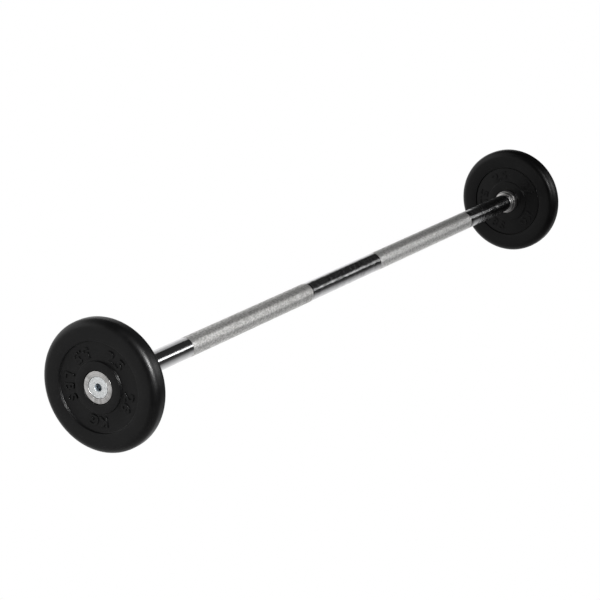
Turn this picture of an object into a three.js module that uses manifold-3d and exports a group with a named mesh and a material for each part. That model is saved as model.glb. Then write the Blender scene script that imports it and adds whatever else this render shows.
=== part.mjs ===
// Fixed barbell, in millimetres, +Z up.
// A solid chrome-plated steel bar lies along X with its middle at the origin. Each end carries one
// rubber-covered iron plate, held between a stop collar and an end washer by a countersunk screw.

import * as THREE from "three";
import { mergeVertices } from "three/addons/utils/BufferGeometryUtils.js";
import Module from "manifold-3d";

const wasm = await Module();
wasm.setup();

// Whole barbell
const overallLength = 1106; // between the outer faces of the two plates
const seatGap = 0.3; // clearance between two pieces that sit on or in each other
const cutOverrun = 1; // how far a cutting shape runs past the face that it opens

// Bar
const barDiameter = 25;
const barEndChamfer = 1;
const barEndInset = 0.5; // the bar stops short of the washer, so that the washer clamps the plate
const knurlStart = 93; // from the middle of the bar to where each grip begins
const knurlLength = 283;
const knurlHeight = 0.15; // the rolled pattern stands this far above the plain bar
const tappedHoleDepth = 32;

// Stop collar, pressed on the bar behind each plate
const collarDiameter = 33.4;
const collarLength = 12;
const collarNoseLength = 9; // the part of its length that rounds down to the bar
const collarNoseLip = 0.4; // what is left of its wall at the tip of the nose

// Plate, as the rubber shows it
const plateDiameter = 154;
const plateThickness = 25;
const shoulderRadius = 9.7;
const rimInnerDiameter = 106; // the flat rim ends and the channel's outer wall begins
const rimWallRun = 2.8; // radial width of the curved wall below the rim
const channelDepth = 2.2;
const bossFaceDiameter = 58.4; // the flat face of the boss
const bossWallRun = 2.3; // radial width of the curved wall below the boss

// The same on the inner face, whose channel is a shallow step
const backRimInnerDiameter = 103.6;
const backRimWallRun = 0.4;
const backChannelDepth = 1;
const backBossFaceDiameter = 59.2;
const backBossWallRun = 0.8;

// Plate, inside
const coverWall = 3; // rubber over the iron core
const pocketLining = 2; // rubber between the washer and the iron core
const bushingDiameter = 31.5;

// End washer
const washerDiameter = 38.4;
const washerThickness = 8;
const washerRecess = 0.5; // its face lies this far below the face of the boss
const washerChamfer = 0.5;

// End screw
const screwThreadDiameter = 12;
const screwLength = 35;
const screwTipChamfer = 1;
const screwHeadDiameter = 25.5;
const screwHeadRim = 0.6; // the short cylinder above the cone
const screwHeadSink = 0.2; // its top lies this far below the face of the washer
const screwHeadClearance = 0.5; // between the head and the washer, all round
const socketWidth = 8; // across the flats of the hexagon
const socketDepth = 5;
const socketMouthDiameter = 10;
const socketMouthDepth = 1;

// Facets: a multiple of four puts a flat facet straight below, above and to each side
const plateSides = 48;
const turnedSides = 36;
const hexagonSides = 6;
const wallSteps = 4;
const shoulderSteps = 5;
const noseSteps = 6;

// Sizes that follow from those above
const barRadius = barDiameter / 2;
const collarRadius = collarDiameter / 2;
const plateRadius = plateDiameter / 2;
const plateFace = plateThickness / 2; // height of a face above the middle of the plate
const plateMiddle = overallLength / 2 - plateFace; // from the middle of the bar
const channelFloor = plateFace - channelDepth;
const rimInnerRadius = rimInnerDiameter / 2;
const bossFaceRadius = bossFaceDiameter / 2;
const bossFootRadius = bossFaceRadius + bossWallRun;
const channelRadius = rimInnerRadius - rimWallRun;
const backChannelFloor = plateFace - backChannelDepth;
const backRimInnerRadius = backRimInnerDiameter / 2;
const backBossFaceRadius = backBossFaceDiameter / 2;
const backBossFootRadius = backBossFaceRadius + backBossWallRun;
const backChannelRadius = backRimInnerRadius - backRimWallRun;
const bushingRadius = bushingDiameter / 2;
const plateBoreRadius = bushingRadius + seatGap;
const washerRadius = washerDiameter / 2;
const washerFace = plateFace - washerRecess;
const washerBack = washerFace - washerThickness;
const hubFace = washerBack - seatGap; // where the bushing and the iron hub end below the washer
const pocketRadius = washerRadius + seatGap;
const corePocketRadius = pocketRadius + pocketLining;
const coreFace = plateFace - coverWall;
const coreWebFace = channelFloor - coverWall;
const threadRadius = screwThreadDiameter / 2;
const headRadius = screwHeadDiameter / 2;
const headConeHeight = headRadius - threadRadius; // a cone of 90 degrees
const barHalfLength = plateMiddle + hubFace - barEndInset;

function point(radius, height) {
  return new THREE.Vector2(radius, height);
}

// A wall that leaves one level and reaches another with a rounded edge at both.
function easedWall(from, to) {
  const wall = [];
  for (let step = 0; step <= wallSteps; step++) {
    const across = step / wallSteps;
    const down = (1 - Math.cos(Math.PI * across)) / 2;
    wall.push(point(
      THREE.MathUtils.lerp(from.x, to.x, across),
      THREE.MathUtils.lerp(from.y, to.y, down),
    ));
  }
  return wall;
}

// A quarter of an ellipse round a centre, from its top to its widest point.
function quarterRound(centre, width, height, steps) {
  const arc = [];
  for (let step = 0; step <= steps; step++) {
    const angle = (step / steps) * (Math.PI / 2);
    arc.push(point(centre.x + width * Math.sin(angle), centre.y + height * Math.cos(angle)));
  }
  return arc;
}

// The same outline on the other face of the plate, listed the other way round.
function otherFace(outline) {
  return outline.map((p) => point(p.x, -p.y)).reverse();
}

// A closed outline ends on its first point.
function closed(outline) {
  return [...outline, outline[0].clone()];
}

// A turned solid: the outline of radius and height goes once round the Y axis.
function turned(outline, sides) {
  return new THREE.LatheGeometry(outline, sides, Math.PI / sides);
}

// A closed geometry as a solid that can be cut.
function solidOf(geometry) {
  const bare = geometry.clone();
  bare.deleteAttribute("normal");
  bare.deleteAttribute("uv");
  const merged = mergeVertices(bare);
  return new wasm.Manifold(new wasm.Mesh({
    numProp: 3,
    vertProperties: merged.attributes.position.array,
    triVerts: Uint32Array.from(merged.index.array),
  }));
}

// A cut solid as a geometry with flat faces.
function geometryOf(solid) {
  const mesh = solid.getMesh();
  const indexed = new THREE.BufferGeometry();
  indexed.setAttribute("position", new THREE.BufferAttribute(mesh.vertProperties, 3));
  indexed.setIndex(new THREE.BufferAttribute(mesh.triVerts, 1));
  const faceted = indexed.toNonIndexed();
  faceted.computeVertexNormals();
  return faceted;
}

// Finishes
function chromePlate() {
  return new THREE.MeshStandardMaterial({ color: 0xb9bcc0, roughness: 0.12, metalness: 1 });
}

function blackRubber() {
  return new THREE.MeshStandardMaterial({ color: 0x1b1b1c, roughness: 0.55, metalness: 0 });
}

function castIron() {
  return new THREE.MeshStandardMaterial({ color: 0x3a3a3c, roughness: 0.8, metalness: 0.6 });
}

function turnedSteel() {
  return new THREE.MeshStandardMaterial({ color: 0x8b8780, roughness: 0.35, metalness: 1 });
}

function zincPlate() {
  return new THREE.MeshStandardMaterial({ color: 0xb4b7bb, roughness: 0.4, metalness: 0.9 });
}

// The bar: solid, plain at the middle and the ends, tapped at both ends for the screws.
function barGeometry() {
  const holeRadius = threadRadius + seatGap;
  const holeBottom = barHalfLength - tappedHoleDepth;
  const knurlRadius = barRadius + knurlHeight;
  const knurlEnd = knurlStart + knurlLength;
  const rightHalf = [
    point(barRadius, knurlStart),
    point(knurlRadius, knurlStart + knurlHeight),
    point(knurlRadius, knurlEnd - knurlHeight),
    point(barRadius, knurlEnd),
    point(barRadius, barHalfLength - barEndChamfer),
    point(barRadius - barEndChamfer, barHalfLength),
    point(holeRadius, barHalfLength),
    point(holeRadius, holeBottom),
    point(0, holeBottom),
  ];
  return turned([...otherFace(rightHalf), ...rightHalf], turnedSides);
}

// The stop collar: a ring with a rounded nose towards the grip. Its height is counted from the seat.
function collarGeometry() {
  const boreRadius = barRadius + seatGap;
  const noseTip = point(boreRadius + collarNoseLip, -collarLength);
  const nose = quarterRound(
    point(noseTip.x, collarNoseLength - collarLength),
    collarRadius - noseTip.x,
    -collarNoseLength,
    noseSteps,
  );
  const outline = [point(boreRadius, -collarLength), ...nose, point(collarRadius, 0), point(boreRadius, 0)];
  return turned(closed(outline), turnedSides);
}

// The bushing: a plain steel sleeve, flush with the plate's inner face and with the iron hub.
function bushingGeometry() {
  const boreRadius = barRadius + seatGap;
  const outline = [
    point(boreRadius, -plateFace),
    point(bushingRadius, -plateFace),
    point(bushingRadius, hubFace),
    point(boreRadius, hubFace),
  ];
  return turned(closed(outline), turnedSides);
}

// One face of the iron core from its hub to its rim, or of the hollow round it when grown.
function coreFaceOutline(grow) {
  return [
    point(bossFaceRadius - coverWall + grow, coreFace + grow),
    point(bossFootRadius - coverWall + grow, coreWebFace + grow),
    point(channelRadius + coverWall - grow, coreWebFace + grow),
    point(rimInnerRadius + coverWall - grow, coreFace + grow),
    point(plateRadius - shoulderRadius, coreFace + grow),
    point(plateRadius - coverWall + grow, plateFace - shoulderRadius),
  ];
}

// The iron core: a webbed disc, bored for the bushing and counterbored for the washer.
function coreGeometry() {
  const outerFace = coreFaceOutline(0);
  const outline = [
    point(plateBoreRadius, -coreFace),
    ...otherFace(outerFace).reverse(),
    ...[...outerFace].reverse(),
    point(corePocketRadius, coreFace),
    point(corePocketRadius, hubFace),
    point(plateBoreRadius, hubFace),
  ];
  return turned(closed(outline), plateSides);
}

// The rounded shoulder of the rubber, from the flat rim to the tread.
function shoulderOutline() {
  const centre = point(plateRadius - shoulderRadius, plateFace - shoulderRadius);
  return quarterRound(centre, shoulderRadius, shoulderRadius, shoulderSteps);
}

// The outer face of the rubber from the boss to the tread.
function coverFaceOutline() {
  return [
    ...easedWall(point(bossFaceRadius, plateFace), point(bossFootRadius, channelFloor)),
    ...easedWall(point(channelRadius, channelFloor), point(rimInnerRadius, plateFace)),
    ...shoulderOutline(),
  ];
}

// The inner face, whose channel has plain steep walls. It is drawn as if it faced outwards.
function coverBackOutline() {
  return [
    point(backBossFaceRadius, plateFace),
    point(backBossFootRadius, backChannelFloor),
    point(backChannelRadius, backChannelFloor),
    point(backRimInnerRadius, plateFace),
    ...shoulderOutline(),
  ];
}

// The rubber cover: it wraps the iron core and is open only at the bore, where the bushing goes.
function coverGeometry() {
  const outerFace = coverFaceOutline();
  const innerFace = coverBackOutline();
  const hollowFace = coreFaceOutline(seatGap);
  const liningRadius = corePocketRadius - seatGap;
  const outline = [
    point(plateBoreRadius, -plateFace),
    ...otherFace(innerFace).reverse(),
    ...[...outerFace].reverse(),
    point(pocketRadius, plateFace),
    point(pocketRadius, hubFace + seatGap),
    point(liningRadius, hubFace + seatGap),
    point(liningRadius, coreFace + seatGap),
    ...hollowFace,
    ...otherFace(hollowFace),
    point(plateBoreRadius, -coreFace - seatGap),
  ];
  return turned(closed(outline), plateSides);
}

// The end washer: countersunk for the screw's head. Its height is counted from its back.
function washerGeometry() {
  const throughRadius = threadRadius + screwHeadClearance;
  const mouthRadius = headRadius + screwHeadClearance;
  const coneTop = washerThickness - screwHeadSink - screwHeadRim;
  const outline = [
    point(throughRadius, 0),
    point(washerRadius, 0),
    point(washerRadius, washerThickness - washerChamfer),
    point(washerRadius - washerChamfer, washerThickness),
    point(mouthRadius, washerThickness),
    point(mouthRadius, coneTop),
    point(throughRadius, coneTop - headConeHeight),
  ];
  return turned(closed(outline), turnedSides);
}

// The hexagon socket with its widened mouth, as a cutter below the top of the head.
function socketCutter() {
  const cornerRadius = socketWidth / Math.sqrt(3);
  const height = socketDepth + cutOverrun;
  const hexagon = new THREE.CylinderGeometry(cornerRadius, cornerRadius, height, hexagonSides);
  hexagon.translate(0, cutOverrun - height / 2, 0);
  const mouthRadius = socketMouthDiameter / 2;
  const mouthHeight = socketMouthDepth + cutOverrun;
  const mouth = new THREE.CylinderGeometry(
    mouthRadius + cutOverrun,
    mouthRadius - socketMouthDepth,
    mouthHeight,
    turnedSides,
  );
  mouth.translate(0, cutOverrun - mouthHeight / 2, 0);
  return solidOf(hexagon).add(solidOf(mouth));
}

// The end screw: a countersunk head with a hexagon socket. Its height is counted from its top.
function screwGeometry() {
  const outline = [
    point(0, -screwLength),
    point(threadRadius - screwTipChamfer, -screwLength),
    point(threadRadius, screwTipChamfer - screwLength),
    point(threadRadius, -screwHeadRim - headConeHeight),
    point(headRadius, -screwHeadRim),
    point(headRadius, 0),
    point(0, 0),
  ];
  return geometryOf(solidOf(turned(outline, turnedSides)).subtract(socketCutter()));
}

function piece(name, geometry, material, height) {
  const mesh = new THREE.Mesh(geometry, material);
  mesh.name = name;
  mesh.position.y = height;
  return mesh;
}

// Everything that one end of the bar carries, with heights counted outwards from the middle of the bar.
function endPieces(side) {
  const collarSeat = plateMiddle - plateFace - seatGap;
  const screwTop = plateMiddle + washerFace - screwHeadSink;
  const end = new THREE.Group();
  end.add(
    piece("stop_collar_" + side, collarGeometry(), chromePlate(), collarSeat),
    piece("plate_bushing_" + side, bushingGeometry(), turnedSteel(), plateMiddle),
    piece("plate_core_" + side, coreGeometry(), castIron(), plateMiddle),
    piece("plate_cover_" + side, coverGeometry(), blackRubber(), plateMiddle),
    piece("end_washer_" + side, washerGeometry(), turnedSteel(), plateMiddle + washerBack),
    piece("end_screw_" + side, screwGeometry(), zincPlate(), screwTop),
  );
  return end;
}

const bar = piece("bar", barGeometry(), chromePlate(), 0);
bar.rotation.z = -Math.PI / 2;

const leftEnd = endPieces("left");
leftEnd.rotation.z = Math.PI / 2;

const rightEnd = endPieces("right");
rightEnd.rotation.z = -Math.PI / 2;

const barbell = new THREE.Group();
barbell.add(bar, leftEnd, rightEnd);

export default barbell;
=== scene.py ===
# A fixed barbell, in metres, +Z up. A knurled chrome bar lies along X with its middle at the
# origin, and each end carries a rubber-covered plate between a stop collar and an end screw.

import math

import bmesh
import bpy
from mathutils import Matrix, Vector


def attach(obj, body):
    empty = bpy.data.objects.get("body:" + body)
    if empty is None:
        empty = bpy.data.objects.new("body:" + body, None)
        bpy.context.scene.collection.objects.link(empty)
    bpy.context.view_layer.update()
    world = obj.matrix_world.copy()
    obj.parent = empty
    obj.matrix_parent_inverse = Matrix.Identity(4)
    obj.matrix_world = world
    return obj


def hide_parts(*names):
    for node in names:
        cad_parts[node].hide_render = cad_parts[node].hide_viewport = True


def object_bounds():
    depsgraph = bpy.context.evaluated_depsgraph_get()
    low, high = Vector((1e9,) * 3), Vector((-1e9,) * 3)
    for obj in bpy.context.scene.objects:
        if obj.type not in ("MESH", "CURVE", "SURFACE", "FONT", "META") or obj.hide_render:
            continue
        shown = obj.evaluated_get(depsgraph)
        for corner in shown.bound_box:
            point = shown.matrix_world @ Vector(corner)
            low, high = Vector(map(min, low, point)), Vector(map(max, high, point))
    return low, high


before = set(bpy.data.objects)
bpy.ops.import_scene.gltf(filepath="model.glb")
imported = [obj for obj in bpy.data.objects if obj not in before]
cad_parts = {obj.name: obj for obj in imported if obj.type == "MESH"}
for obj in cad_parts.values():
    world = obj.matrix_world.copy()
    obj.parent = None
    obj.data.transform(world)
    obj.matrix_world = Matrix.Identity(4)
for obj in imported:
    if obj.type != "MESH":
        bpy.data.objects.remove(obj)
cad_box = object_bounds()


# ---- Camera and floor
# The camera stands beyond the bar's left end and looks down along it, as in the photograph. The
# floor is plain pale paper, and the plates stand on it.

camera = bpy.data.objects.new("camera", bpy.data.cameras.new("camera"))
bpy.context.scene.collection.objects.link(camera)
camera.data.sensor_width = 36
camera.data.lens = 128.6
camera.location = (-2.3881, -1.30213, 0.70775)
camera.rotation_euler = (math.radians(74.807), 0, math.radians(-60.292))
bpy.context.scene.camera = camera
bpy.context.scene.view_settings.view_transform = "Standard"


def blank_finish(name):
    """A new material; returns it with its nodes, its links and its shader."""
    material = bpy.data.materials.new(name)
    material.use_nodes = True
    tree = material.node_tree
    return material, tree.nodes, tree.links, tree.nodes["Principled BSDF"]


floor_half_width = 12
floor_grey = (0.55, 0.55, 0.55, 1)

floor_mesh = bmesh.new()
bmesh.ops.create_grid(floor_mesh, x_segments=1, y_segments=1, size=floor_half_width)
bmesh.ops.translate(floor_mesh, verts=floor_mesh.verts, vec=(0, 0, cad_box[0].z))
floor = bpy.data.objects.new("floor", bpy.data.meshes.new("floor"))
floor_mesh.to_mesh(floor.data)
floor_mesh.free()
bpy.context.scene.collection.objects.link(floor)

# The paper shows white to the camera, as in the photograph, and is a plain pale grey to the light
# that falls on it. Gloss looks past it to the studio's own gradient, and from below it is clear,
# so that the underside can be seen.
floor_paper, nodes, links, shader = blank_finish("floor_paper")
shader.inputs["Base Color"].default_value = floor_grey
shader.inputs["Roughness"].default_value = 0.9
clipped_white = nodes.new("ShaderNodeEmission")
ray = nodes.new("ShaderNodeLightPath")
seen_or_lit = nodes.new("ShaderNodeMixShader")
links.new(ray.outputs["Is Camera Ray"], seen_or_lit.inputs["Fac"])
links.new(shader.outputs["BSDF"], seen_or_lit.inputs[1])
links.new(clipped_white.outputs["Emission"], seen_or_lit.inputs[2])
see_through = nodes.new("ShaderNodeBsdfTransparent")
side_seen = nodes.new("ShaderNodeNewGeometry")
above_or_below = nodes.new("ShaderNodeMixShader")
links.new(side_seen.outputs["Backfacing"], above_or_below.inputs["Fac"])
links.new(seen_or_lit.outputs["Shader"], above_or_below.inputs[1])
links.new(see_through.outputs["BSDF"], above_or_below.inputs[2])
links.new(above_or_below.outputs["Shader"], nodes["Material Output"].inputs["Surface"])
floor.data.materials.append(floor_paper)
floor.visible_glossy = False


# ---- Lights
# Plain soft studio light: a white table and backdrop that fade towards the camera and overhead, a
# key lamp that draws the streak on the left tread, a side panel and a window that draw the lines
# on the chrome, and three faint panels that lift the right end, the top and the backs.

world = bpy.data.worlds.new("studio")
bpy.context.scene.world = world
world.use_nodes = True
nodes = world.node_tree.nodes
links = world.node_tree.links


def figure(nodes, links, operation, first, second=0):
    """One arithmetic step; each input is a number or another node's output."""
    step = nodes.new("ShaderNodeMath")
    step.operation = operation
    for socket, value in zip(step.inputs, (first, second)):
        if isinstance(value, (int, float)):
            socket.default_value = value
        else:
            links.new(value, socket)
    return step.outputs["Value"]


def spread(nodes, links, source, low, high, start=0.3, end=0.7, easing="LINEAR"):
    """The source's values between start and end, spread from low to high."""
    spreading = nodes.new("ShaderNodeMapRange")
    spreading.interpolation_type = easing
    spreading.inputs["From Min"].default_value = start
    spreading.inputs["From Max"].default_value = end
    spreading.inputs["To Min"].default_value = low
    spreading.inputs["To Max"].default_value = high
    links.new(source, spreading.inputs["Value"])
    return spreading.outputs["Result"]


# Where each ray of light comes from, as its run to the back and to the right for each metre up or
# down. The table is brightest towards its far right corner, and the backdrop towards its foot.
least_steepness = 0.01
lean_to_right = 0.25
heading = nodes.new("ShaderNodeTexCoord")
course = nodes.new("ShaderNodeSeparateXYZ")
links.new(heading.outputs["Generated"], course.inputs["Vector"])
rise_or_fall = figure(nodes, links, "ABSOLUTE", course.outputs["Z"])
steepness = figure(nodes, links, "ADD", rise_or_fall, least_steepness)
towards_back = figure(nodes, links, "DIVIDE", course.outputs["Y"], steepness)
towards_right = figure(nodes, links, "DIVIDE", course.outputs["X"], steepness)
leaning = figure(nodes, links, "MULTIPLY", towards_right, lean_to_right)
towards_far_corner = figure(nodes, links, "ADD", towards_back, leaning)
table = spread(
    nodes, links, towards_far_corner, low=0.05, high=1.1, start=-1.7, end=1.4, easing="SMOOTHSTEP"
)
backdrop = spread(
    nodes, links, towards_back, low=0.03, high=1, start=0.5, end=1.9, easing="SMOOTHSTEP"
)
above = spread(nodes, links, course.outputs["Z"], low=0, high=1, start=-0.05, end=0.05)
below = figure(nodes, links, "SUBTRACT", 1, above)
table_glow = figure(nodes, links, "MULTIPLY", table, below)
backdrop_glow = figure(nodes, links, "MULTIPLY", backdrop, above)
glow = figure(nodes, links, "ADD", table_glow, backdrop_glow)
brighter_right_light = spread(nodes, links, course.outputs["X"], low=0.45, high=1, start=-0.9, end=0.9)
past_right_end = spread(nodes, links, course.outputs["X"], low=1, high=0.15, start=0.855, end=0.9)
share = figure(nodes, links, "MULTIPLY", brighter_right_light, past_right_end)
studio_light = figure(nodes, links, "MULTIPLY", glow, share)

# The camera itself sees plain white all round.
seen = nodes.new("ShaderNodeLightPath")
strength = figure(nodes, links, "MAXIMUM", studio_light, seen.outputs["Is Camera Ray"])
links.new(strength, nodes["Background"].inputs["Strength"])
nodes["Background"].inputs["Color"].default_value = (1, 1, 1, 1)


def softbox(name, place, aim, width, height, brightness, beam=180):
    """A rectangular lamp at place that faces aim; a grid can narrow its beam, in degrees."""
    lamp = bpy.data.lights.new(name, "AREA")
    lamp.shape = "RECTANGLE"
    lamp.size = width
    lamp.size_y = height
    lamp.spread = math.radians(beam)
    lamp.energy = brightness * math.pi * width * height
    box = bpy.data.objects.new(name, lamp)
    box.location = place
    box.rotation_mode = "QUATERNION"
    box.rotation_quaternion = (Vector(aim) - Vector(place)).to_track_quat("-Z", "Y")
    box.visible_camera = False
    bpy.context.scene.collection.objects.link(box)


bar_middle = (0, 0, 0)
softbox(
    "key", place=(-1.73, -2.52, 1.39), aim=(-0.85, 0, 0),
    width=1, height=0.64, brightness=8.2, beam=50,
)
softbox(
    "side_panel", place=(0.9, -2.4, 1.02), aim=bar_middle, width=2.4, height=0.6, brightness=3
)
softbox(
    "window", place=(3.11, -3.775, 1.15), aim=bar_middle, width=2.1, height=1.12, brightness=3.3
)
softbox(
    "end_panel", place=(4.1, -1.6, 0.8), aim=(0.45, 0, 0), width=1.1, height=1, brightness=0.4
)
softbox(
    "canopy", place=(0.3, 0.36, 0.46), aim=(0.3, 0.36, 0), width=0.4, height=0.44, brightness=0.5
)
softbox(
    "back_panel", place=(-1.6, 3, 1.2), aim=bar_middle, width=4, height=2.2, brightness=0.6
)


# ---- Bar
# One solid round steel rod, chrome plated. Its two grips are rolled into a fine diamond knurl
# that stands a little above the plain rod, and both ends are drilled and tapped for the screws.

bar_radius = 0.0125
bar_half_length = 0.5437
bar_end_chamfer = 0.001
tapped_hole_radius = 0.0063
tapped_hole_depth = 0.032
knurl_start = 0.093
knurl_end = 0.376
knurl_crest = 0.01261
knurl_valley = 0.0125
knurl_rows = 198
knurl_columns = 96
broad_rounding = 0.002
broad_rounding_steps = 8
small_rounding_steps = 4
touching = 1e-6
shortest_edge = 1e-7
sharp_turn = math.radians(32)
chrome_dark = (0.66, 0.66, 0.67)
chrome_light = (0.74, 0.74, 0.75)
knurl_dark = (0.36, 0.355, 0.345)
knurl_light = (0.94, 0.935, 0.92)


def turned(outline, steps, closed=True):
    """A solid turned about the bar's axis, as a bmesh. The outline lists (x, radius) corners, and
    a third number is how far before and after a corner its rounding begins."""
    shape = bmesh.new()
    corners = [shape.verts.new((corner[0], 0, corner[1])) for corner in outline]
    for first, second in zip(corners, corners[1:]):
        shape.edges.new((first, second))
    if closed:
        shape.edges.new((corners[-1], corners[0]))
    for vert, corner in zip(corners, outline):
        if len(corner) > 2:
            rounding = corner[2]
            broad = rounding > broad_rounding
            bmesh.ops.bevel(
                shape, geom=[vert], offset=rounding,
                segments=broad_rounding_steps if broad else small_rounding_steps,
                profile=0.5, affect="VERTICES", material=-1,
            )
    bmesh.ops.spin(
        shape, geom=shape.verts[:] + shape.edges[:], cent=(0, 0, 0), axis=(1, 0, 0),
        angle=math.tau, steps=steps, use_merge=True,
    )
    bmesh.ops.remove_doubles(shape, verts=shape.verts, dist=touching)
    bmesh.ops.dissolve_degenerate(shape, edges=shape.edges, dist=shortest_edge)
    bmesh.ops.recalc_face_normals(shape, faces=shape.faces)
    for face in shape.faces:
        face.smooth = True
    return shape


def sharpen(shape):
    """Marks the edges at which the surface makes a sharp turn."""
    for edge in shape.edges:
        edge.smooth = not (edge.is_manifold and edge.calc_face_angle() > sharp_turn)


def finished(shape, name, *finishes):
    """The shape as a piece of the barbell, with its finishes."""
    mesh = bpy.data.meshes.new(name)
    shape.to_mesh(mesh)
    shape.free()
    for finish in finishes:
        mesh.materials.append(finish)
    made = bpy.data.objects.new(name, mesh)
    bpy.context.scene.collection.objects.link(made)
    return made


# The rod's outline, with a ring of crests for each row of the knurl.
knurl_step = (knurl_end - knurl_start) / knurl_rows
hole_bottom = bar_half_length - tapped_hole_depth
right_half = [
    (knurl_start, bar_radius),
    *[(knurl_start + row * knurl_step, knurl_crest) for row in range(1, knurl_rows)],
    (knurl_end, bar_radius),
    (bar_half_length - bar_end_chamfer, bar_radius),
    (bar_half_length, bar_radius - bar_end_chamfer),
    (bar_half_length, tapped_hole_radius),
    (hole_bottom, tapped_hole_radius),
    (hole_bottom, 0),
]
left_half = [(-x, radius) for x, radius in reversed(right_half)]
bar_shape = turned(left_half + right_half, knurl_columns, closed=False)

# Every other crest is pushed down to the valleys, in turn from row to row, which leaves diamonds.
for vert in bar_shape.verts:
    row = round((abs(vert.co.x) - knurl_start) / knurl_step)
    radius = math.hypot(vert.co.y, vert.co.z)
    if 0 < row < knurl_rows and radius > bar_radius:
        column = round(math.atan2(vert.co.y, vert.co.z) / math.tau * knurl_columns)
        if (row + column) % 2:
            vert.co.yz = Vector(vert.co.yz) * (knurl_valley / radius)
knurled = [
    face for face in bar_shape.faces
    if knurl_start < abs(face.calc_center_median().x) < knurl_end
]
for face in knurled:
    face.material_index = 1
    face.smooth = False
bmesh.ops.triangulate(bar_shape, faces=knurled, quad_method="SHORT_EDGE")
sharpen(bar_shape)


def turned_streaks(nodes, links, along, around):
    """Fine noise drawn out round the bar's axis, as a lathe or a polishing belt leaves it."""
    place = nodes.new("ShaderNodeTexCoord")
    drawn_out = nodes.new("ShaderNodeMapping")
    drawn_out.inputs["Scale"].default_value = (along, around, around)
    noise = nodes.new("ShaderNodeTexNoise")
    noise.inputs["Scale"].default_value = 1
    noise.inputs["Detail"].default_value = 2
    links.new(place.outputs["Object"], drawn_out.inputs["Vector"])
    links.new(drawn_out.outputs["Vector"], noise.inputs["Vector"])
    return noise.outputs["Fac"]


def along_bar(nodes, links):
    """How far along the bar a place lies, from the middle to the right."""
    place = nodes.new("ShaderNodeTexCoord")
    station = nodes.new("ShaderNodeSeparateXYZ")
    links.new(place.outputs["Object"], station.inputs["Vector"])
    return station.outputs["X"]


def off_axis(nodes, links):
    """The way from the bar's axis to a place, and how far that is."""
    place = nodes.new("ShaderNodeTexCoord")
    across = nodes.new("ShaderNodeVectorMath")
    across.operation = "MULTIPLY"
    across.inputs[1].default_value = (0, 1, 1)
    reach = nodes.new("ShaderNodeVectorMath")
    reach.operation = "LENGTH"
    links.new(place.outputs["Object"], across.inputs[0])
    links.new(across.outputs["Vector"], reach.inputs[0])
    return across.outputs["Vector"], reach.outputs["Value"]


def blend_colours(nodes, links, share, first, second):
    """A colour from first to second as the share goes from 0 to 1."""
    mix = nodes.new("ShaderNodeMix")
    mix.data_type = "RGBA"
    mix.inputs["A"].default_value = (*first, 1)
    mix.inputs["B"].default_value = (*second, 1)
    links.new(share, mix.inputs["Factor"])
    return mix.outputs["Result"]


def relief(nodes, links, shader, height, depth, before=None):
    """Bumps of the given depth in metres, on the shader or on top of an earlier relief."""
    bump = nodes.new("ShaderNodeBump")
    bump.inputs["Distance"].default_value = depth
    links.new(height, bump.inputs["Height"])
    if before:
        links.new(before.outputs["Normal"], bump.inputs["Normal"])
    links.new(bump.outputs["Normal"], shader.inputs["Normal"])
    return bump


def polished_chrome():
    """Bright plating over a polished rod. The belt ran round the rod, so its marks spread the
    gloss along the bar and leave it sharp across. They are coarser from the middle rightwards."""
    material, nodes, links, shader = blank_finish("polished_chrome")
    shader.inputs["Metallic"].default_value = 1
    shader.inputs["Anisotropic"].default_value = 0.95
    shader.inputs["Anisotropic Rotation"].default_value = 0.25
    around = nodes.new("ShaderNodeTangent")
    around.direction_type = "RADIAL"
    around.axis = "X"
    links.new(around.outputs["Tangent"], shader.inputs["Tangent"])
    marks = turned_streaks(nodes, links, along=2500, around=90)
    waves = turned_streaks(nodes, links, along=50, around=12)
    tint = spread(nodes, links, waves, low=0, high=1)
    colour = blend_colours(nodes, links, tint, chrome_dark, chrome_light)
    links.new(colour, shader.inputs["Base Color"])
    least_coarse = 0.15
    coarse_share = spread(
        nodes, links, along_bar(nodes, links), low=least_coarse, high=1, start=-0.38, end=-0.1
    )
    roughening = spread(nodes, links, marks, low=0, high=0.28, start=0.48, end=0.75)
    coarse = figure(nodes, links, "MULTIPLY", roughening, coarse_share)
    fine = spread(nodes, links, coarse_share, low=0.12, high=0.06, start=least_coarse, end=1)
    links.new(figure(nodes, links, "ADD", coarse, fine), shader.inputs["Roughness"])
    belt_marks = relief(nodes, links, shader, marks, depth=0.0000015)
    swell = figure(nodes, links, "MULTIPLY", waves, coarse_share)
    relief(nodes, links, shader, swell, depth=0.0011, before=belt_marks)
    return material


def knurled_chrome():
    """The same plating on the rolled diamonds, unevenly worn, with painted shade that leaves the
    crests bright and the valleys duller, and painted light that makes the right grip a little
    brighter."""
    material, nodes, links, shader = blank_finish("knurled_chrome")
    shader.inputs["Metallic"].default_value = 0.85
    reach = off_axis(nodes, links)[1]
    # Painted shade: the colour darkens from the crests down into the valleys; the noise added to it
    # is wear.
    height = spread(nodes, links, reach, low=0, high=1, start=knurl_valley, end=knurl_crest)
    wear = turned_streaks(nodes, links, along=260, around=420)
    worn = spread(nodes, links, wear, low=0, high=1, start=0.36, end=0.64)
    both = figure(nodes, links, "ADD", height, worn)
    painted_shade_and_wear = figure(nodes, links, "DIVIDE", both, 2)
    # Painted light: the colour grows a little brighter across the middle towards the right grip.
    brighter_right_light = spread(
        nodes, links, along_bar(nodes, links),
        low=0, high=0.35, start=-knurl_start, end=knurl_start,
    )
    tint = figure(nodes, links, "ADD", painted_shade_and_wear, brighter_right_light)
    colour = blend_colours(nodes, links, tint, knurl_dark, knurl_light)
    links.new(colour, shader.inputs["Base Color"])
    roughness = spread(nodes, links, painted_shade_and_wear, low=0.46, high=0.26, start=0, end=1)
    links.new(roughness, shader.inputs["Roughness"])
    grain = turned_streaks(nodes, links, along=4000, around=4000)
    relief(nodes, links, shader, grain, depth=0.000008)
    return material


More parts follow.
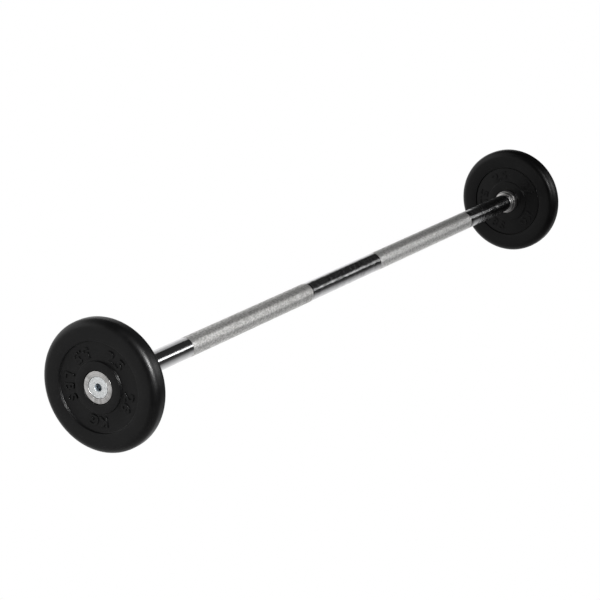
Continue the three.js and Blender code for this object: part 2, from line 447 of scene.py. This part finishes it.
chrome = polished_chrome()
bar = finished(bar_shape, "bar_rod", chrome, knurled_chrome())
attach(bar, "root")
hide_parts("bar")


# ---- Stop collars
# A bright steel ring pressed on the bar behind each plate, turned with a rounded nose towards the
# grip and chrome plated. The plate's inner face seats against its flat back.

ends = {"left": -1, "right": 1}
collar_nose = 0.5157
collar_length = 0.012
collar_bore = 0.0128
collar_radius = 0.0167
collar_steps = 128
satin_dark = (0.6, 0.59, 0.58)
satin_light = (0.74, 0.73, 0.72)

# Corners from the nose to the seat: how far each lies from the nose, its radius and its rounding.
# A shallow turned groove sets the nose off from the band behind it.
collar_corners = [
    (0, collar_bore),
    (0, 0.0132),
    (0.0007, 0.0145, 0.0003),
    (0.0042, 0.0155, 0.0002),
    (0.0045, 0.0151),
    (0.0048, 0.0151),
    (0.0049, 0.016, 0.0001),
    (0.0076, collar_radius, 0.0006),
    (collar_length, collar_radius, 0.0003),
    (collar_length, collar_bore),
]


def satin_chrome():
    """The same plating over a turned surface, which leaves it satin."""
    material, nodes, links, shader = blank_finish("satin_chrome")
    shader.inputs["Metallic"].default_value = 1
    marks = turned_streaks(nodes, links, along=1800, around=120)
    tint = spread(nodes, links, marks, low=0, high=1)
    colour = blend_colours(nodes, links, tint, satin_dark, satin_light)
    links.new(colour, shader.inputs["Base Color"])
    links.new(spread(nodes, links, marks, low=0.32, high=0.4), shader.inputs["Roughness"])
    relief(nodes, links, shader, marks, depth=0.0000004)
    return material


satin = satin_chrome()
for end, side in ends.items():
    collar_shape = turned(
        [(side * (collar_nose + corner[0]), *corner[1:]) for corner in collar_corners], collar_steps
    )
    sharpen(collar_shape)
    collar = finished(collar_shape, "collar_ring_" + end, satin)
    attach(collar, "root")
    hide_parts("stop_collar_" + end)


# ---- Plate covers
# Black rubber moulded over the iron core: a rounded tread, a flat rim, a sunken channel and a
# raised boss on both faces. The weight is raised in the channel, and the bore is left open.

plate_middle = 0.5405
plate_half = 0.0125
plate_radius = 0.07682
shoulder = 0.0097
bore_radius = 0.01605
bore_lip = 0.0004
pocket_radius = 0.0195
pocket_floor = 0.0045
lining_radius = 0.0212
hollow_half = 0.0098
hollow_web_half = 0.0076
plate_steps = 192
rubber_dark = (0.0018, 0.0018, 0.0019)
rubber_light = (0.0032, 0.0032, 0.0034)

# Corners from the rim to the boss: how far each lies from the plate's middle, its radius and its
# rounding. The inner face's channel is shallower and sharper, with a narrow groove at its rim.
outer_floor = 0.0098
outer_wall = [
    (plate_half, 0.0529, 0.0005),
    (outer_floor, 0.0524, 0.0008),
    (outer_floor, 0.0304, 0.0005),
    (plate_half, 0.0299, 0.0003),
]
inner_floor = 0.0115
groove_floor = 0.0098
inner_wall = [
    (plate_half, 0.0519, 0.0002),
    (groove_floor, 0.0517),
    (groove_floor, 0.0508),
    (inner_floor, 0.0506, 0.0002),
    (inner_floor, 0.0303, 0.0003),
    (plate_half, 0.0298, 0.0004),
]

# The space that the iron core fills, from its hub out to its rim.
core_hollow = [
    (hollow_half, 0.0265),
    (hollow_web_half, 0.0288),
    (hollow_web_half, 0.0529),
    (hollow_half, 0.0557),
    (hollow_half, 0.067),
    (0.0031, 0.0743),
]


def other_way(corners):
    """The same corners on the plate's other face, listed the other way round."""
    return [(-corner[0], *corner[1:]) for corner in reversed(corners)]


cover_outline = [
    (-plate_half, bore_radius, bore_lip),
    *other_way(inner_wall),
    (-plate_half, plate_radius, shoulder),
    (plate_half, plate_radius, shoulder),
    *outer_wall,
    (plate_half, pocket_radius, bore_lip),
    (pocket_floor, pocket_radius),
    (pocket_floor, lining_radius),
    (hollow_half, lining_radius),
    *core_hollow,
    *other_way(core_hollow),
    (-hollow_half, bore_radius),
]

mark_height = 0.0124
mark_font_size = 0.0172
mark_boldness = 0.0003
mark_bevel = 0.0001
outer_relief = 0.0012
inner_relief = 0.001
mark_radius = 0.0398
digit_width_share = 1.3

# Each mark's place round the channel, in degrees clockwise from the plate's own top. Some stand
# with their tops towards the rim, the others with their tops towards the boss.
tops_out_marks = [("2", -9.5), (".", 0), ("5", 11), ("2", 67), ("6", 86), ("K", 141), ("G", 158.5)]
tops_in_marks = [("5", -57), (".", -67), ("5", -77), ("L", -112), ("B", -130), ("S", -148)]

# How far each face's own top is turned, by the plate's end and by the way that the face looks.
face_turns = {("left", -1): 32.3, ("left", 1): 20, ("right", -1): -21, ("right", 1): 65}


def mark_mesh(character, rise):
    """One raised character, centred, reading along X with its top towards +Y."""
    lettering = bpy.data.curves.new(character, "FONT")
    lettering.body = character
    lettering.size = mark_font_size
    lettering.offset = mark_boldness
    lettering.extrude = rise - mark_bevel
    lettering.bevel_depth = mark_bevel
    lettering.bevel_resolution = 1
    lettering.resolution_u = 6
    holder = bpy.data.objects.new(character, lettering)
    bpy.context.scene.collection.objects.link(holder)
    bpy.context.view_layer.update()
    made = holder.evaluated_get(bpy.context.evaluated_depsgraph_get())
    mesh = bpy.data.meshes.new_from_object(made)
    bpy.data.objects.remove(holder)
    bpy.data.curves.remove(lettering)
    across = [vert.co.x for vert in mesh.vertices]
    middle = (min(across) + max(across)) / 2
    mesh.transform(Matrix.Translation((-middle, -mark_height / 2 + mark_boldness, 0)))
    if character.isdigit():
        mesh.transform(Matrix.Diagonal((digit_width_share, 1, 1, 1)))
    return mesh


def raise_mark(shape, character, angle, tops_out, outward, floor_x, rise):
    """Sets one character in the channel, the angle in degrees clockwise from the top as seen from
    in front of the face. Outward is the way the face looks along X."""
    normal = Vector((outward, 0, 0))
    up = Vector((0, 0, 1))
    right = up.cross(normal)
    turn = math.radians(angle)
    top = up * math.cos(turn) + right * math.sin(turn)
    reading = right * math.cos(turn) - up * math.sin(turn)
    place = top * mark_radius + Vector((floor_x, 0, 0))
    if not tops_out:
        top, reading = -top, -reading
    frame_of_mark = Matrix((reading, top, normal)).transposed().to_4x4()
    mesh = mark_mesh(character, rise)
    mesh.transform(Matrix.Translation(place) @ frame_of_mark)
    shape.from_mesh(mesh)
    bpy.data.meshes.remove(mesh)


def speckle(nodes, links, scale, detail):
    """Even noise all over a piece."""
    place = nodes.new("ShaderNodeTexCoord")
    noise = nodes.new("ShaderNodeTexNoise")
    noise.inputs["Scale"].default_value = scale
    noise.inputs["Detail"].default_value = detail
    links.new(place.outputs["Object"], noise.inputs["Vector"])
    return noise.outputs["Fac"]


def moulded_rubber():
    """Matt black rubber with a fine grain from the mould and a faint uneven bloom."""
    material, nodes, links, shader = blank_finish("moulded_rubber")
    shader.inputs["Specular IOR Level"].default_value = 0.3
    bloom = speckle(nodes, links, scale=45, detail=5)
    tint = spread(nodes, links, bloom, low=0, high=1)
    colour = blend_colours(nodes, links, tint, rubber_dark, rubber_light)
    links.new(colour, shader.inputs["Base Color"])
    links.new(spread(nodes, links, bloom, low=0.33, high=0.41), shader.inputs["Roughness"])
    grain = speckle(nodes, links, scale=1800, detail=3)
    relief(nodes, links, shader, grain, depth=0.00002)
    return material


rubber = moulded_rubber()
for end, side in ends.items():
    cover_shape = turned(
        [(side * (plate_middle + corner[0]), *corner[1:]) for corner in cover_outline], plate_steps
    )
    sharpen(cover_shape)
    for outward in (-1, 1):
        channel_floor = outer_floor if outward == side else inner_floor
        rise = outer_relief if outward == side else inner_relief
        floor_x = side * plate_middle + outward * channel_floor
        for marks, tops_out in ((tops_out_marks, True), (tops_in_marks, False)):
            for character, angle in marks:
                face_angle = angle + face_turns[end, outward]
                raise_mark(cover_shape, character, face_angle, tops_out, outward, floor_x, rise)
    cover = finished(cover_shape, "plate_rubber_" + end, rubber)
    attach(cover, "root")
    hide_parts("plate_cover_" + end)


# ---- End washers
# A thick steel ring let into the boss of each plate's outer face, faced off on a lathe, which
# leaves fine rings, and countersunk for the screw.

washer_back = 0.5445
washer_face = 0.5525
washer_radius = 0.0188
washer_edge = 0.0005
washer_bore = 0.0065
countersink_mouth = 0.0128
countersink_top = 0.5517
countersink_depth = countersink_mouth - washer_bore
countersink_edge = 0.00015
washer_steps = 128
steel_dark = (0.41, 0.402, 0.39)
steel_light = (0.99, 0.975, 0.96)


def turned_steel():
    """Bare steel faced off on a lathe: fine rings, with a painted sheen that makes it brighter on
    some sides than others.
    """
    material, nodes, links, shader = blank_finish("turned_steel")
    shader.inputs["Metallic"].default_value = 1
    across, reach = off_axis(nodes, links)
    ring_noise = nodes.new("ShaderNodeTexNoise")
    ring_noise.noise_dimensions = "1D"
    ring_noise.inputs["Scale"].default_value = 1500
    ring_noise.inputs["Detail"].default_value = 4
    links.new(reach, ring_noise.inputs["W"])
    rings = ring_noise.outputs["Fac"]
    bearing = nodes.new("ShaderNodeVectorMath")
    bearing.operation = "NORMALIZE"
    links.new(across, bearing.inputs[0])
    # Painted sheen: noise round the axis makes some sides of the face lighter and others darker, as
    # the gloss of turned rings falls.
    painted_sheen_noise = nodes.new("ShaderNodeTexNoise")
    painted_sheen_noise.inputs["Scale"].default_value = 3.5
    painted_sheen_noise.inputs["Detail"].default_value = 3
    links.new(bearing.outputs["Vector"], painted_sheen_noise.inputs["Vector"])
    ringed = spread(nodes, links, rings, low=0, high=0.5)
    painted_sheen = spread(nodes, links, painted_sheen_noise.outputs["Fac"], low=0, high=0.5, start=0.35, end=0.6)
    tint = figure(nodes, links, "ADD", ringed, painted_sheen)
    colour = blend_colours(nodes, links, tint, steel_dark, steel_light)
    links.new(colour, shader.inputs["Base Color"])
    links.new(spread(nodes, links, rings, low=0.24, high=0.4), shader.inputs["Roughness"])
    relief(nodes, links, shader, rings, depth=0.00002)
    return material


steel = turned_steel()
for end, side in ends.items():
    washer_shape = turned([
        (side * washer_back, washer_bore),
        (side * washer_back, washer_radius),
        (side * washer_face, washer_radius, washer_edge),
        (side * washer_face, countersink_mouth, countersink_edge),
        (side * countersink_top, countersink_mouth),
        (side * (countersink_top - countersink_depth), washer_bore),
    ], washer_steps)
    sharpen(washer_shape)
    washer = finished(washer_shape, "washer_ring_" + end, steel)
    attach(washer, "root")
    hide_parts("end_washer_" + end)


# ---- End screws
# An M12 countersunk screw with a hexagon socket at each end of the bar, zinc plated. Its head
# fills the washer's countersink, and the pull of its thread clamps the plate.

screw_top = 0.5523
screw_length = 0.035
screw_radius = 0.006
screw_tip = 0.001
head_radius = 0.0124
head_rim = 0.0006
head_edge = 0.0003
head_cone = head_radius - screw_radius
socket_apothem = 0.004
socket_mouth = 0.005
socket_depth = 0.005
socket_tip = 0.0006
# The painted shade in the socket begins this far below the screw's top and is full this far below.
painted_shade_starts_below_top = 0.0001
painted_shade_full_below_top = 0.0006
screw_steps = 96
hexagon_sides = 6
zinc_dull = (0.58, 0.6, 0.605)
zinc_pale = (0.73, 0.75, 0.755)
# The colour of the painted shade in the socket, and of no shade.
socket_shade_colour = (0.28, 0.32, 0.36)
no_shade = (1, 1, 1)


def zinc_plate():
    """Pale zinc plating, matt, with small dull spots, and painted shade that darkens it down in the
    socket.
    """
    material, nodes, links, shader = blank_finish("zinc_plate")
    shader.inputs["Metallic"].default_value = 0.5
    spots = speckle(nodes, links, scale=700, detail=3)
    tint = spread(nodes, links, spots, low=0, high=1, start=0.35, end=0.5)
    plated = blend_colours(nodes, links, tint, zinc_dull, zinc_pale)
    from_middle = figure(nodes, links, "ABSOLUTE", along_bar(nodes, links))
    # Painted shade: the colour darkens from just below the screw's top down into the socket.
    unshaded_share = spread(
        nodes, links, from_middle, low=0, high=1,
        start=screw_top - painted_shade_full_below_top, end=screw_top - painted_shade_starts_below_top,
    )
    socket_shade = blend_colours(nodes, links, unshaded_share, socket_shade_colour, no_shade)
    shaded_plating = nodes.new("ShaderNodeMix")
    shaded_plating.data_type = "RGBA"
    shaded_plating.blend_type = "MULTIPLY"
    shaded_plating.inputs["Factor"].default_value = 1
    links.new(plated, shaded_plating.inputs["A"])
    links.new(socket_shade, shaded_plating.inputs["B"])
    links.new(shaded_plating.outputs["Result"], shader.inputs["Base Color"])
    links.new(spread(nodes, links, spots, low=0.5, high=0.38), shader.inputs["Roughness"])
    relief(nodes, links, shader, spots, depth=0.00003)
    return material


def cut_hexagon(shape, side):
    """Draws the round socket's wall out to a hexagon, and its mouth to the cone that it meets."""
    part_turn = math.tau / hexagon_sides
    for vert in shape.verts:
        radius = math.hypot(vert.co.y, vert.co.z)
        if abs(radius - socket_apothem) > touching:
            continue
        from_flat = math.atan2(vert.co.y, vert.co.z) % part_turn - part_turn / 2
        reach = socket_apothem / math.cos(from_flat)
        vert.co.yz = Vector(vert.co.yz) * (reach / radius)
        if abs(vert.co.x) > screw_top - socket_depth / 2:
            vert.co.x = side * (screw_top - (socket_mouth - reach))


zinc = zinc_plate()
for end, side in ends.items():
    screw_tail = screw_top - screw_length
    socket_floor = screw_top - socket_depth
    screw_shape = turned([
        (side * screw_tail, 0),
        (side * screw_tail, screw_radius - screw_tip),
        (side * (screw_tail + screw_tip), screw_radius),
        (side * (screw_top - head_rim - head_cone), screw_radius),
        (side * (screw_top - head_rim), head_radius),
        (side * screw_top, head_radius, head_edge),
        (side * screw_top, socket_mouth),
        (side * (screw_top - (socket_mouth - socket_apothem)), socket_apothem),
        (side * socket_floor, socket_apothem),
        (side * (socket_floor - socket_tip), 0),
    ], screw_steps, closed=False)
    cut_hexagon(screw_shape, side)
    sharpen(screw_shape)
    screw = finished(screw_shape, "screw_" + end, zinc)
    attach(screw, "root")
    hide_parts("end_screw_" + end)


# ---- Cores and bushings
# Inside each plate, a webbed disc of cast iron gives it its weight, and a plain steel sleeve in
# its bore slides over the bar. Their shapes are the frame's own.

iron_dark = (0.05, 0.05, 0.052)
iron_light = (0.13, 0.125, 0.12)


def cast_iron():
    """Rough grey iron as it leaves the sand."""
    material, nodes, links, shader = blank_finish("cast_iron")
    shader.inputs["Metallic"].default_value = 0.7
    sand = speckle(nodes, links, scale=900, detail=6)
    tint = spread(nodes, links, sand, low=0, high=1)
    colour = blend_colours(nodes, links, tint, iron_dark, iron_light)
    links.new(colour, shader.inputs["Base Color"])
    links.new(spread(nodes, links, sand, low=0.6, high=0.85), shader.inputs["Roughness"])
    relief(nodes, links, shader, sand, depth=0.0002)
    return material


iron = cast_iron()
for end in ends:
    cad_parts["plate_core_" + end].material_slots[0].material = iron
    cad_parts["plate_bushing_" + end].material_slots[0].material = steel
